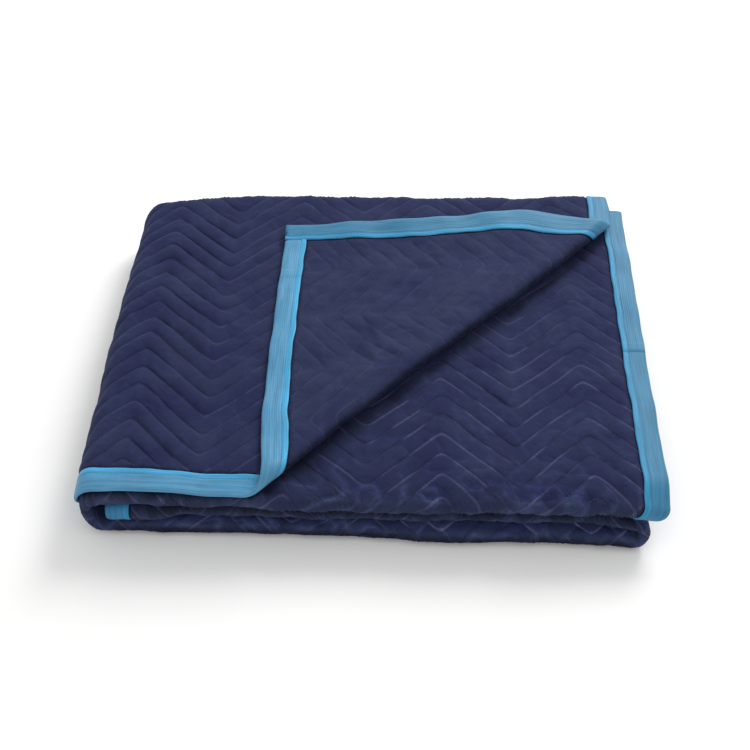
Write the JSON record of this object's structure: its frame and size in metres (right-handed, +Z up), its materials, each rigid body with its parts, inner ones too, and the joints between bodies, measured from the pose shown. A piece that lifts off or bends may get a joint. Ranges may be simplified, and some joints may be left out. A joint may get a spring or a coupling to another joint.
{
  "type": "moving blanket",
  "caption": "Quilted moving blanket with a bound edge, folded into a flat stack with one corner turned back over a soft crease.",
  "frame": {"origin": "middle of the folded stack's footprint, on the surface it rests on", "axes": "+X along the folded stack's long side, with the open bound edges at +X and the fold at -X; -Y towards the front, where the bound hem lies on top; +Z up"},
  "size_m": [0.6995, 0.5592, 0.0974],
  "materials": {
    "navy_quilted_cloth": "matt woven cotton and polyester shell, quilted over wadding in rows of chevrons",
    "sky_blue_binding": "woven tape with a soft sheen, sewn over the edge"
  },
  "bodies": {
    "root": {"quilted_sheet": "navy_quilted_cloth", "binding_right": "sky_blue_binding", "binding_inner": "sky_blue_binding", "binding_front": "sky_blue_binding", "binding_tucked": "sky_blue_binding"}
  },
  "joints": []
}
